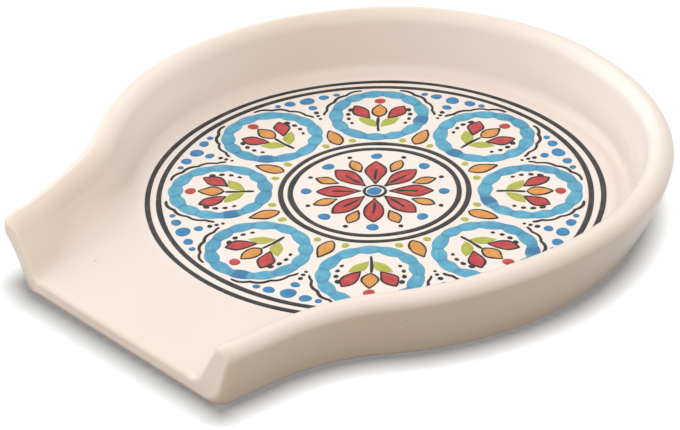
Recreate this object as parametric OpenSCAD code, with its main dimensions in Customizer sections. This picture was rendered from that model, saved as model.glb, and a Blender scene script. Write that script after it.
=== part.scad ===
// Spoon rest: a round stoneware dish whose rolled rim sweeps out into an open spout for the
// spoon's handle. The well's floor carries a painted rosette, one raised colour layer per node.
// The base is on z = 0, the spout points to -Y, and the origin is under the middle of the dish.
// The shapes are drawn round the well's centre and then set in place.

/* [Dish] */
// Outer radius of the bowl's rim
rim_radius = 81; // [76:1:100]
// Distance from the well's centre to the top of the spout's front
spout_reach = 97; // [94:0.1:125]
// Height of the rim round the bowl
bowl_h = 22.7; // [20:0.1:32]
// Height of the rim at the spout's end
spout_h = 18.4; // [17:0.1:28]
// Thickness of the floor
floor_t = 5.5; // [5:0.5:8]
// Width of the wall at its top
rim_width = 7.6; // [7.5:0.1:11]
// Radius of the rim's broad roll on the inside
rim_inner_round = 4; // [3:0.1:5]
// Radius of the rim's tighter edge on the outside
rim_outer_round = 1.8; // [1:0.1:2.5]

/* [Outer wall] */
// How far the base stands in from the rim round the bowl
bowl_inset = 7.5; // [5:0.5:13]
// How far the base stands in from the rim along the spout
spout_inset = 4; // [3:0.5:11]
// Radius of the lower edge
base_round = 2.3; // [1:0.1:2.5]

/* [Inner wall] */
// Lean of the inner wall from upright round the bowl, in degrees
bowl_lean = 18; // [12:1:24]
// Lean of the inner wall from upright along the spout, in degrees
spout_lean = 29; // [20:1:36]
// Radius of the cove between wall and floor round the bowl
bowl_cove = 4; // [3:0.5:6]
// Radius of the cove between wall and floor along the spout
spout_cove = 3; // [2:0.5:6]

/* [Spout] */
// Angle from the spout's middle line at which the rim leaves the bowl's circle
sweep_angle = 49; // [44:1:53]
// Radius of the hollow sweep that leads from the bowl into the spout
sweep_radius = 50; // [42:1:58]
// Angle by which each side of the spout narrows, in degrees
flank_angle = 6; // [0:0.5:8]
// Lean of the spout's front from upright, in degrees
front_lean = 1; // [0:0.5:12]
// Distance from the well's centre at which the rim starts to drop
drop_start = 20; // [10:1:50]
// Length of level rim at the spout's end
level_l = 8; // [4:1:12]
// Radius of the rounded edges of the lip and of the wall's two ends
lip_round = 3.9; // [2:0.1:5]
// Radius of the base's two front corners
base_corner = 8; // [5:0.1:10]
// Radius of the sharper inner edge of the wall's two ends
inner_edge = 1; // [0.5:0.1:2]

/* [Foot] */
// Width of the bare foot rim
foot_w = 6; // [4:0.5:10]
// Depth of the recess inside the foot rim
foot_depth = 1; // [0.5:0.1:2]
// Radius of the recess's two front corners
foot_corner = 7; // [4:1:12]

/* [Painted rosette] */
// How far the rosette sits from the rim's centre towards the spout
rosette_shift = 1.4; // [0:0.1:2]
// Thickness of a colour layer
paint_t = 0.2; // [0.1:0.05:0.4]
// Clear floor left between the border and the foot of the wall, at its nearest
border_clear = 0.3; // [0.2:0.1:4]
// Distance from the outer border line in to the second one
border_gap = 3.3; // [2.5:0.1:4.5]
// Distance from the medallion's outer line in to its second one
medallion_gap = 2.9; // [2.2:0.1:3.5]
// Width of the border lines
border_w = 1.3; // [0.8:0.1:1.8]
// Width of the fine brush lines
line_w = 0.9; // [0.5:0.1:1]
// Number of roundels in the ring
roundels = 8; // [6:1:10]
// Clear floor between a roundel and the lines on either side of the ring of roundels
roundel_gap = 1.2; // [0.5:0.1:3]
// Clear floor between one roundel and the next
roundel_spacing = 3.3; // [2.5:0.1:5]
// Width of the turquoise stroke
stroke_w = 4; // [3:0.1:5]

/* [Hidden] */

// Circles are drawn with this many steps a turn
$fn = 96;

// Steps along half of the rim: round the bowl, through the sweep, down the flank, round the end
bowl_steps = 38;
sweep_steps = 12;
flank_steps = 4;
end_steps = 5;
// Steps across the wall: in the cove, over the rim, round the lower edge
cove_steps = 5;
inner_rim_steps = 7;
outer_rim_steps = 5;
base_steps = 4;
// The lip keeps this share of the floor's upper edge for its rounding
lip_share = 0.9;
lip_floor_round = min(lip_round, lip_share * (floor_t - base_round));
// A cut runs this far past the face that it opens
overrun = 1;

function mix(a, b, t) = a + (b - a) * t;
function ease(t) = let(c = max(0, min(1, t))) c * c * (3 - 2 * c);
// How far an edge of radius r has drawn in at a distance from the end face
function drawn_in(r, dist) = dist >= r ? 0 : r - sqrt(max(0, r * r - (r - dist) * (r - dist)));
function on_circle(centre, r, a) = centre + r * [cos(a), sin(a)];

// Where the sweep ends and the straight flank of the spout starts
sweep_centre = (rim_radius + sweep_radius) * [sin(sweep_angle), -cos(sweep_angle)];
flank_start = sweep_centre + sweep_radius * [-cos(flank_angle), sin(flank_angle)];
flank_head = [-sin(flank_angle), -cos(flank_angle)];
end_start = lip_round - spout_reach;

// A station on the right half of the rim: its point, its heading and its distance from the end face
function bowl_station(a) = [rim_radius * [cos(a), sin(a)], [sin(a), -cos(a)], spout_reach];
function sweep_station(a) =
  [sweep_centre + sweep_radius * [-sin(a), cos(a)], [-cos(a), -sin(a)], spout_reach];
function flank_station(y, dist) =
  [flank_start + flank_head * (flank_start[1] - y) / cos(flank_angle), flank_head, dist];

right_stations = [
  for (i = [0 : bowl_steps]) bowl_station(90 - i * (180 - sweep_angle) / bowl_steps),
  for (i = [1 : sweep_steps]) sweep_station(mix(sweep_angle, 90 - flank_angle, i / sweep_steps)),
  for (i = [1 : flank_steps]) flank_station(mix(flank_start[1], end_start, i / flank_steps), lip_round),
  for (i = [1 : end_steps])
    let(dist = lip_round * (1 - sin(90 * i / end_steps))) flank_station(dist - spout_reach, dist)
];
half_count = len(right_stations);

// How far a station is on the way from the bowl's section to the spout's
function spout_blend(p) = ease((-p[1] - drop_start) / (spout_reach - level_l - drop_start));
// How far it has turned square to the spout and taken the front's lean
function end_blend(p) = ease((flank_start[1] - p[1]) / (flank_start[1] - end_start));

// The wall's section as [distance in from the rim, height], from the floor over the rim to the base
function wall_section(b, dist) =
  let(
    outer_in = drawn_in(lip_round, dist),
    inner_in = drawn_in(inner_edge, dist),
    lean = mix(bowl_lean, spout_lean, b),
    top = mix(bowl_h, spout_h, b) - outer_in,
    kept = min(1, (rim_width - outer_in - inner_in) / (rim_inner_round + rim_outer_round)),
    inner_r = kept * rim_inner_round,
    inner_c = [rim_width - inner_in - inner_r, top - inner_r],
    outer_r = kept * rim_outer_round,
    outer_c = [outer_in + outer_r, top - outer_r],
    base_in = drawn_in(base_round, dist * base_round / lip_round),
    base_r = base_round - base_in,
    corner_in = drawn_in(base_corner, dist * base_corner / lip_round),
    base_c = [mix(bowl_inset, spout_inset, b) + base_round + max(0, corner_in - base_in), base_round],
    rise = outer_c - base_c,
    outer_a = atan2(rise[1], rise[0]) + acos((base_r - outer_r) / norm(rise)),
    cove_r = mix(bowl_cove, spout_cove, b) + inner_in,
    cove_z = floor_t - drawn_in(lip_floor_round, dist * lip_floor_round / lip_round) + cove_r,
    cove_d = (inner_c * [cos(lean), sin(lean)] + inner_r + cove_r - cove_z * sin(lean)) / cos(lean)
  )
  [
    for (i = [0 : cove_steps]) on_circle([cove_d, cove_z], cove_r, mix(270, 180 + lean, i / cove_steps)),
    for (i = [0 : inner_rim_steps]) on_circle(inner_c, inner_r, mix(lean, 90, i / inner_rim_steps)),
    for (i = [0 : outer_rim_steps]) on_circle(outer_c, outer_r, mix(90, outer_a, i / outer_rim_steps)),
    for (i = [1 : base_steps]) on_circle(base_c, base_r, mix(outer_a, 270, i / base_steps))
  ];
section_count = cove_steps + inner_rim_steps + outer_rim_steps + base_steps + 3;

// The section's points at a station, turned and leant with the spout's front
function station_points(station) =
  let(
    p = station[0],
    head = station[1],
    inward = [head[1], -head[0]],
    turn = end_blend(p)
  )
  [
    for (q = wall_section(spout_blend(p), station[2]))
      let(at = p + q[0] * (inward + head * turn * tan(flank_angle)))
        [at[0], at[1] + turn * (spout_h - q[1]) * tan(front_lean), q[1]]
  ];

function mirrored(points) = [for (p = points) [-p[0], p[1], p[2]]];

// Rows of points from the spout's left end round the back to its right end
wall_rows = [
  for (i = [half_count - 1 : -1 : 1]) mirrored(station_points(right_stations[i])),
  for (i = [0 : half_count - 1]) station_points(right_stations[i])
];
row_count = len(wall_rows);
row_last = row_count - 1;
col_last = section_count - 1;
function corner(row, col) = row * section_count + col;

wall_faces = [
  for (r = [0 : row_last - 1])
    for (c = [0 : col_last - 1])
      each [
        [corner(r, c), corner(r, c + 1), corner(r + 1, c + 1)],
        [corner(r, c), corner(r + 1, c + 1), corner(r + 1, c)]
      ]
];
// The floor, the base and the lip, in strips across the dish from one side's row to the other's
middle_row = half_count - 1;
across_faces = [
  for (r = [0 : middle_row - 1])
    let(other = row_last - r, meets = r + 1 == middle_row)
      each meets
        ? [
            [corner(r, 0), corner(r + 1, 0), corner(other, 0)],
            [corner(other, col_last), corner(r + 1, col_last), corner(r, col_last)]
          ]
        : [
            [corner(r, 0), corner(r + 1, 0), corner(other - 1, 0), corner(other, 0)],
            [corner(other, col_last), corner(other - 1, col_last), corner(r + 1, col_last),
              corner(r, col_last)]
          ]
];
// The front: a fan over each wall's end and the face between them
end_faces = [
  for (c = [0 : col_last - 2])
    each [
      [corner(0, col_last), corner(0, c + 1), corner(0, c)],
      [corner(row_last, col_last), corner(row_last, c), corner(row_last, c + 1)]
    ],
  [corner(0, col_last), corner(0, 0), corner(row_last, 0), corner(row_last, col_last)]
];

// Outline of the recess inside the foot rim
front_base_y = spout_h * tan(front_lean) - spout_reach + base_round + foot_w;
function foot_point(station) =
  let(p = station[0], head = station[1])
    p + (mix(bowl_inset, spout_inset, spout_blend(p)) + base_round + foot_w) * [head[1], -head[0]];
foot_side = [
  for (s = right_stations) let(p = foot_point(s)) if (p[1] > front_base_y + foot_corner) p
];
foot_corner_at = [foot_side[len(foot_side) - 1][0] - foot_corner, front_base_y + foot_corner];
foot_right = [
  each foot_side,
  for (i = [0 : base_steps]) on_circle(foot_corner_at, foot_corner, -90 * i / base_steps)
];
foot_outline = [
  each foot_right,
  for (i = [len(foot_right) - 1 : -1 : 1]) [-foot_right[i][0], foot_right[i][1]]
];

// The well's centre lies behind the middle of the dish, which reaches from the lip to the back
front_y = lip_round * tan(front_lean) - spout_reach;
well_y = -(rim_radius + front_y) / 2;

module dish() {
  color("#efe2d4")
    translate([0, well_y, 0])
      difference() {
        polyhedron(
          points = [for (row = wall_rows) each row],
          faces = [each wall_faces, each across_faces, each end_faces]
        );
        translate([0, 0, -overrun])
          linear_extrude(overrun + foot_depth)
            polygon(foot_outline);
      }
}

// The border keeps clear of the foot of the wall all round
wall_foot_reaches = [
  for (s = right_stations)
    let(foot = station_points(s)[0])
      norm([foot[0], foot[1] + rosette_shift])
];
border_radius = min(wall_foot_reaches) - border_clear - border_w / 2;

// The roundels fill the field inside the border, and the medallion fills what they leave
field_out = border_radius - border_gap - border_w / 2;
roundel_chord = sin(180 / roundels);
roundel_at = (field_out - roundel_gap + roundel_spacing / 2) / (1 + roundel_chord);
roundel_radius = roundel_at * roundel_chord - roundel_spacing / 2;
field_in = roundel_at - roundel_radius - roundel_gap;
medallion_radius = field_in - border_w / 2;
white_radius = roundel_radius - stroke_w;
medal_white = medallion_radius - medallion_gap - border_w / 2;
// The first roundel lies over the spout, and the gaps between roundels half a step on
first_turn = -90;
gap_turn = first_turn + 180 / roundels;

// Clear strip left between two brush strokes of different colours
clear = 0.25;

// A sprig inside a roundel, in shares of the roundel's white radius measured from its middle
stem_shares = [-0.86, -0.12];
bud_shares = [-0.08, 0.57];
bud_w_share = 0.4;
petal_base_shares = [-0.16, 0.25];
petal_size_shares = [0.76, 0.4];
petal_tilt = 32;
leaf_base_shares = [-0.62, 0.06];
leaf_size_shares = [0.68, 0.34];
leaf_tilt = 46;
berry_at_share = 0.77;
berry_r_share = 0.15;
// Fine dots follow the roundel on both sides of the flower: their turns, and their radii as shares
dot_turns = [70, 87, 104, 121];
dot_r_shares = [0.072, 0.064, 0.056, 0.048];
dot_at_share = 0.83;

// Dots between two roundels, under the border: turn from the gap, distance in and radius as shares
spandrel_turns = [0, 5.4, 9.2];
spandrel_in_shares = [0.105, 0.085, 0.07];
spandrel_r_shares = [0.07, 0.052, 0.032];
// One more dot below the middle one
inner_dot_in_share = 0.24;
inner_dot_r_share = 0.046;
// Fine dots below them: distance in from the border and radius as shares of the field's width
trail_in_shares = [0.34, 0.4, 0.455];
trail_r_shares = [0.024, 0.02, 0.016];
// Fine line along the outside of each roundel: the turns at which it starts and ends
hug_from = 21;
hug_to = 90;

// Bud between two roundels over the medallion, in shares of the field's width
seed_in_share = 0.035;
seed_size_shares = [0.27, 0.13];
seed_dot_turn = 8.2;
seed_dot_at_share = 0.065;
seed_dot_r_share = 0.034;

// Flower in the medallion, in shares of the medallion's white radius
eye_r_share = 0.095;
eye_ring_share = 0.152;
flower_from_share = 0.175;
flower_size_shares = [0.54, 0.25];
rib_from_share = 0.27;
rib_length_share = 0.26;
pip_from_share = 0.5;
pip_size_shares = [0.3, 0.15];
star_dot_at_share = 0.845;
star_dot_r_share = 0.078;
fine_dot_at_share = 0.88;
fine_dot_r_share = 0.032;

field_w = field_out - field_in;

// A colour layer that lies on the floor of the well
module painted(tone) {
  color(tone)
    translate([0, well_y - rosette_shift, floor_t])
      linear_extrude(paint_t)
        children();
}

// Copies round the well's centre, each moved out to a radius
module around(turn, at) {
  for (i = [0 : roundels - 1])
    rotate(turn + i * 360 / roundels)
      translate([at, 0])
        children();
}

module both_sides() {
  children();
  mirror([0, 1])
    children();
}

module ring(radius, width) {
  difference() {
    circle(radius + width / 2);
    circle(radius - width / 2);
  }
}

// A leaf-shaped brush stroke from the origin along +X, made where two circles overlap
module stroke(length, width) {
  half = width / 2;
  bow = (length * length / 4 + half * half) / width;
  intersection() {
    translate([length / 2, half - bow])
      circle(bow);
    translate([length / 2, bow - half])
      circle(bow);
  }
}

// An even line from the origin along +X with round ends
module line(length) {
  translate([0, -line_w / 2])
    square([length, line_w]);
  translate([length, 0])
    circle(line_w / 2);
}

module dot_row(turns, at, radii) {
  for (i = [0 : len(turns) - 1])
    rotate(turns[i])
      translate([at, 0])
        circle(radii[i]);
}

module ring_lines() {
  painted("#37393b") {
    ring(border_radius, border_w);
    ring(border_radius - border_gap, border_w);
    ring(medallion_radius, border_w);
    ring(medallion_radius - medallion_gap, border_w);
  }
}

module turquoise_roundels() {
  painted("#55b3db")
    around(first_turn, roundel_at)
      ring(roundel_radius - stroke_w / 2, stroke_w);
}

module blue_dots() {
  painted("#3c8bc3") {
    around(gap_turn, 0)
      both_sides()
        for (i = [0 : len(spandrel_turns) - 1])
          rotate(spandrel_turns[i])
            translate([field_out - spandrel_in_shares[i] * field_w, 0])
              circle(spandrel_r_shares[i] * field_w);
    around(gap_turn, field_out - inner_dot_in_share * field_w)
      circle(inner_dot_r_share * field_w);
    around(first_turn, star_dot_at_share * medal_white)
      circle(star_dot_r_share * medal_white);
    circle(eye_r_share * medal_white);
  }
}

module red_petals() {
  painted("#e2343f") {
    around(first_turn, roundel_at) {
      both_sides()
        translate(petal_base_shares * white_radius)
          rotate(petal_tilt)
            stroke(petal_size_shares[0] * white_radius, petal_size_shares[1] * white_radius);
      translate([berry_at_share * white_radius, 0])
        circle(berry_r_share * white_radius);
    }
    around(first_turn, flower_from_share * medal_white)
      difference() {
        stroke(flower_size_shares[0] * medal_white, flower_size_shares[1] * medal_white);
        translate([(rib_from_share - flower_from_share) * medal_white, 0])
          line(rib_length_share * medal_white);
      }
  }
}

module orange_buds() {
  painted("#f19c38") {
    around(first_turn, roundel_at + bud_shares[0] * white_radius)
      stroke((bud_shares[1] - bud_shares[0]) * white_radius, bud_w_share * white_radius);
    around(gap_turn, field_in + seed_in_share * field_w)
      stroke(seed_size_shares[0] * field_w, seed_size_shares[1] * field_w);
    around(gap_turn, pip_from_share * medal_white)
      stroke(pip_size_shares[0] * medal_white, pip_size_shares[1] * medal_white);
  }
}

module green_leaves() {
  painted("#b3c93c") {
    around(first_turn, roundel_at)
      both_sides()
        translate(leaf_base_shares * white_radius)
          rotate(leaf_tilt)
            stroke(leaf_size_shares[0] * white_radius, leaf_size_shares[1] * white_radius);
    around(gap_turn, 0)
      both_sides()
        rotate(seed_dot_turn)
          translate([field_in + seed_dot_at_share * field_w, 0])
            circle(seed_dot_r_share * field_w);
  }
}

module black_linework() {
  painted("#1f2022") {
    around(first_turn, roundel_at) {
      translate([stem_shares[0] * white_radius, 0])
        line((stem_shares[1] - stem_shares[0]) * white_radius);
      both_sides() {
        dot_row(dot_turns, dot_at_share * white_radius, dot_r_shares * white_radius);
        rotate(hug_from)
          sector(hug_to - hug_from)
            ring(roundel_radius + clear + line_w / 2, line_w);
      }
    }
    around(gap_turn, 0)
      for (i = [0 : len(trail_in_shares) - 1])
        translate([field_out - trail_in_shares[i] * field_w, 0])
          circle(trail_r_shares[i] * field_w);
    around(first_turn, rib_from_share * medal_white)
      line(rib_length_share * medal_white);
    around(gap_turn, fine_dot_at_share * medal_white)
      circle(fine_dot_r_share * medal_white);
    ring(eye_ring_share * medal_white - line_w / 2, line_w);
  }
}

// Keeps the part of its children between the +X axis and a turn of less than 90 degrees
module sector(turn) {
  reach = roundel_radius + stroke_w;
  intersection() {
    children();
    polygon([[0, 0], [reach, 0], [reach, reach * tan(turn / 2)], reach * [cos(turn), sin(turn)]]);
  }
}

dish();
ring_lines();
turquoise_roundels();
blue_dots();
red_petals();
orange_buds();
green_leaves();
black_linework();
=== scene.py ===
# Spoon rest: a glazed stoneware dish with an open spout, and a rosette brushed on its floor.
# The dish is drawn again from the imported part's sizes with the swells and tool marks of hand work,
# and every colour of the rosette is laid on it stroke by stroke. Sizes are in millimetres.
import math
import random

import bpy
import numpy as np
from mathutils import Matrix, Vector


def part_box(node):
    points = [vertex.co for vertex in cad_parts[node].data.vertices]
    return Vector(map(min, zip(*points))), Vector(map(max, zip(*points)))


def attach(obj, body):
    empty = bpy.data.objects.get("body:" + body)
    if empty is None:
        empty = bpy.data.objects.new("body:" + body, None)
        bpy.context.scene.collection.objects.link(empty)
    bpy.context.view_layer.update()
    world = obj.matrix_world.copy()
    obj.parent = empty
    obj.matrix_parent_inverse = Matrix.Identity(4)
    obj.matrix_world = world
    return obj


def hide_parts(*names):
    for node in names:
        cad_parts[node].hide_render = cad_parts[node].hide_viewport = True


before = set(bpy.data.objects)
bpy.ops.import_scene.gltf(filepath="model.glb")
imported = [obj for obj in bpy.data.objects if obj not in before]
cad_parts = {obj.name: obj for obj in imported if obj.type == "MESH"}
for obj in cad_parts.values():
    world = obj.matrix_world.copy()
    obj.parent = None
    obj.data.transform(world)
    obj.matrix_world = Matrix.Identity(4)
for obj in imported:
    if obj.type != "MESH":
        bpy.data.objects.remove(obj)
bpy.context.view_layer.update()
mm = 0.001

# Camera: the photograph looks down on the dish from the right of its spout with a long lens.
# It aims a little beside the middle of the rosette, and stands level but for a slight roll.
view_turn = math.radians(48.21)
view_rise = math.radians(31.54)
view_roll = math.radians(1.76)
view_distance = 747.8
aim_right = 9.96
aim_up = 1.98
lens_length = 140.3

border_low, border_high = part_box("ring_lines")
rosette_y = (border_low.y + border_high.y) / 2 / mm

level_right = Vector((math.cos(view_turn), math.sin(view_turn), 0))
towards_camera = Vector(
    (
        math.sin(view_turn) * math.cos(view_rise),
        -math.cos(view_turn) * math.cos(view_rise),
        math.sin(view_rise),
    )
)
level_up = towards_camera.cross(level_right)
view_right = level_right * math.cos(view_roll) - level_up * math.sin(view_roll)
view_up = level_right * math.sin(view_roll) + level_up * math.cos(view_roll)

camera = bpy.data.objects.new("camera", bpy.data.cameras.new("camera"))
camera.data.lens = lens_length
camera_place = towards_camera * view_distance - view_right * aim_right - view_up * aim_up
camera_place.y += rosette_y
camera.matrix_world = Matrix.Translation(camera_place * mm) @ Matrix(
    (view_right, view_up, towards_camera)
).transposed().to_4x4()
bpy.context.scene.collection.objects.link(camera)
bpy.context.scene.camera = camera


# Dish: one piece of cream stoneware, pressed over a form, sponged round at every edge, dipped in a
# soft gloss ivory glaze and wiped bare on its foot rim. A rolled rim runs round the bowl and sweeps
# out into the two sides of an open spout.
rim_radius = 81.0
spout_reach = 97.0
bowl_height = 22.7
spout_height = 18.4
floor_thickness = 5.5
rim_width = 7.6
rim_inner_round = 4.8
rim_outer_round = 2.8
rim_fill = 0.97
bowl_inset = 7.5
spout_inset = 4.0
base_round = 2.3
bowl_lean = 18.0
spout_lean = 29.0
bowl_cove = 4.0
spout_cove = 4.5
sweep_angle = 49.0
sweep_radius = 50.0
flank_angle = 6.0
front_lean = 1.0
drop_start = 20.0
level_length = 8.0
foot_width = 6.0
foot_depth = 1.0
foot_corner = 7.0
recess_round = 0.8
least_round = 0.05

# The neck between bowl and spout, where the wall stands steeper over a broader cove
neck_at, neck_spread = -73.0, 12.0
neck_cove, neck_lean = 7.0, -6.0

# How the edges of the spout's two ends are sponged round: how far each one draws in at the end
# face, and the length over which it does. The right-hand end also stands more upright.
lip_round = 3.9
base_corner = 8.0
end_upright = 0.8
inner_edge, inner_edge_reach = 1.3, 2.2
end_corner, end_top, end_reach = 1.8, 2.0, 2.6
lip_floor_round, lip_floor_reach = 1.3, 2.0

bowl_steps, sweep_steps, flank_steps, end_steps = 120, 44, 18, 12
cove_steps, inner_steps, outer_steps, base_steps = 10, 20, 12, 8
inner_rim_steps, outer_rim_steps = 12, 12
rim_steps = inner_rim_steps + outer_rim_steps + 1
across_steps = 48
recess_steps = 4


def turned(angle):
    """The unit vector at an angle in degrees."""
    return np.array([math.cos(math.radians(angle)), math.sin(math.radians(angle))])


def mixed(a, b, share):
    return a + (b - a) * share


def eased(share):
    """The share kept between none and all, and smoothed at both."""
    share = min(1.0, max(0.0, share))
    return share * share * (3 - 2 * share)


def clipped(share):
    return np.clip(share, 0, 1)


def nearness(value, middle, spread):
    """How near a value is to the middle of a place: 1 there, and falling away over the spread."""
    return np.exp(-(((value - middle) / spread) ** 2))


def drawn_in(depth, distance, reach=lip_round):
    """How far an edge rounded to that depth has drawn in at a distance from the end face."""
    share = max(0.0, 1 - distance / reach)
    return depth * (1 - math.sqrt(1 - share * share))


sweep_centre = (rim_radius + sweep_radius) * np.array(
    [math.sin(math.radians(sweep_angle)), -math.cos(math.radians(sweep_angle))]
)
flank_heading = -np.array([math.sin(math.radians(flank_angle)), math.cos(math.radians(flank_angle))])
flank_start = sweep_centre + sweep_radius * turned(180 - flank_angle)
end_start = lip_round - spout_reach
well_y = (rim_radius + lip_round * math.tan(math.radians(front_lean)) - spout_reach) / -2


def flank_point(y):
    return flank_start + flank_heading * (flank_start[1] - y) / math.cos(math.radians(flank_angle))


def rim_stations():
    """Points along the right half of the rim, each with its heading and distance from the end."""
    stations = []
    for i in range(bowl_steps + 1):
        a = 90 - i * (180 - sweep_angle) / bowl_steps
        stations.append((rim_radius * turned(a), turned(a - 90), spout_reach))
    for i in range(1, sweep_steps + 1):
        a = mixed(sweep_angle, 90 - flank_angle, i / sweep_steps)
        stations.append((sweep_centre + sweep_radius * turned(a + 90), turned(a + 180), spout_reach))
    for i in range(1, flank_steps + 1):
        y = mixed(flank_start[1], end_start, i / flank_steps)
        stations.append((flank_point(y), flank_heading, lip_round))
    for i in range(1, end_steps + 1):
        distance = lip_round * (1 - math.sin(math.radians(90 * i / end_steps)))
        stations.append((flank_point(distance - spout_reach), flank_heading, distance))
    return stations


def spout_share(point):
    """How much of the spout's lower and more open wall a station has."""
    return eased((-point[1] - drop_start) / (spout_reach - level_length - drop_start))


def end_share(point):
    """How far along the straight side of the spout a station lies."""
    return eased((flank_start[1] - point[1]) / (flank_start[1] - end_start))


def arc(centre, radius, start, stop, steps):
    return [np.array(centre) + radius * turned(mixed(start, stop, i / steps)) for i in range(steps + 1)]


def between(a, b, steps):
    return [mixed(a, b, i / steps) for i in range(1, steps)]


def wall_section(share, distance, hollow, upright):
    """The wall as (distance in from the rim, height), from the floor over the rim to the base."""
    outer_in = drawn_in(end_corner, distance, end_reach)
    inner_in = drawn_in(inner_edge, distance, inner_edge_reach)
    lean = mixed(bowl_lean, spout_lean, share) + hollow * neck_lean
    lean_x, lean_y = turned(lean)
    top = mixed(bowl_height, spout_height, share) - drawn_in(end_top, distance, end_reach)
    kept = rim_fill * (rim_width - outer_in - inner_in) / (rim_inner_round + rim_outer_round)
    inner_r, outer_r = kept * rim_inner_round, kept * rim_outer_round
    inner_c = (rim_width - inner_in - inner_r, top - inner_r)
    outer_c = (outer_in + outer_r, top - outer_r)
    base_in = drawn_in(base_round, distance)
    corner_in = drawn_in(base_corner, distance)
    base_r = max(base_round - base_in + upright * corner_in, least_round)
    inset = mixed(bowl_inset, spout_inset, share)
    inset -= upright * drawn_in(end_upright * spout_inset, distance)
    base_c = (inset + base_round + corner_in, base_round + upright * corner_in)
    rise_d, rise_z = outer_c[0] - base_c[0], outer_c[1] - base_c[1]
    outer_angle = math.degrees(
        math.atan2(rise_z, rise_d) + math.acos((base_r - outer_r) / math.hypot(rise_d, rise_z))
    )
    cove_r = mixed(bowl_cove, spout_cove, share) + hollow * neck_cove + inner_in
    cove_z = floor_thickness - drawn_in(lip_floor_round, distance, lip_floor_reach) + cove_r
    cove_d = (inner_c[0] * lean_x + inner_c[1] * lean_y + inner_r + cove_r - cove_z * lean_y) / lean_x
    cove = arc((cove_d, cove_z), cove_r, 270, 180 + lean, cove_steps)
    rim = arc(inner_c, inner_r, lean, 90, inner_rim_steps)
    rim += arc(outer_c, outer_r, 90, outer_angle, outer_rim_steps)
    base = arc(base_c, base_r, outer_angle, 270, base_steps)
    inside = between(cove[-1], rim[0], inner_steps)
    outside = between(rim[-1], base[0], outer_steps)
    return np.array(cove + inside + rim + outside + base)


rim_first = cove_steps + inner_steps
section_count = rim_first + rim_steps + outer_steps + base_steps + 1


def section_points(station, upright):
    """The wall's points at a station, turned square to the spout and leant with its front."""
    point, heading, distance = station
    inward = np.array([heading[1], -heading[0]])
    turn = end_share(point)
    into = inward + heading * turn * math.tan(math.radians(flank_angle))
    hollow = nearness(point[1], neck_at, neck_spread)
    section = wall_section(spout_share(point), distance, hollow, upright)
    places = np.empty((len(section), 3))
    places[:, :2] = point + section[:, :1] * into
    places[:, 1] += turn * (spout_height - section[:, 1]) * math.tan(math.radians(front_lean))
    places[:, 2] = section[:, 1]
    return places


# Slow waves in the floor: how high each one is, the length it runs over, and where it starts
broad_high, broad_runs, broad_starts = 0.07, (19, 23), (1.1, -0.4)
slanting_high, slanting_run, slanting_start = 0.04, 12.5, 0.3
fine_high, fine_run, fine_slant = 0.02, 7.3, 1.7


def floor_swell(x, y):
    """How far hand work leaves the floor and rim above or below true, at a place on the dish."""
    broad_x = np.sin(x / broad_runs[0] + broad_starts[0])
    broad_y = np.cos(y / broad_runs[1] + broad_starts[1])
    slanting = np.sin((x + y) / slanting_run + slanting_start)
    fine = np.sin((x - fine_slant * y) / fine_run)
    return broad_high * broad_x * broad_y + slanting_high * slanting + fine_high * fine


# Where pressing and drying left the rim out of true: the turn and spread of each place in degrees,
# and how far the rim stands out and up there
rim_swells = [
    (-70, 30, -0.4, 0.6),
    (-5, 30, -1.2, 0.6),
    (35, 30, 0.5, 0.2),
    (110, 40, 0.3, 0.2),
    (165, 30, -0.4, -0.1),
    (200, 30, 0.2, -0.4),
]
# Small ripples round the rim: how far out and up they go, how many there are, where they start
ripple_out, ripples_out, ripple_out_start = 0.09, 8, 0.5
ripple_up, ripples_up, ripple_up_start = 0.06, 11, 2.0
# The belly that the wall slumped into: its turn and spread, how far out it goes, and the width of
# wall that it takes along
belly_turn, belly_spread, belly_out, belly_depth = 40, 24, 1.8, 20
# The left side of the neck leans outwards: where along the dish, and from where across it
splay_at, splay_spread, splay_out = -70, 14, 2.2
splay_from, splay_ramp = 20, 10
# The foot of the left-hand end is tucked in: how far, from where along the dish and across it
tuck_in, tuck_bend = 4.6, 0.6
tuck_at, tuck_run = 74.0, 18.0
tuck_from, tuck_ramp = 26, 12
# The front face leans back and stands a little askew: its lower edge forward, its upper edge back
lip_forward, lip_back, lip_skew = 2.2, 1.4, 0.01
lip_from, lip_ramp = 82, 10


def turned_away(turn, middle):
    """The turn in degrees from the middle of a place round the dish, the shorter way."""
    return (turn - middle + 180) % 360 - 180


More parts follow.
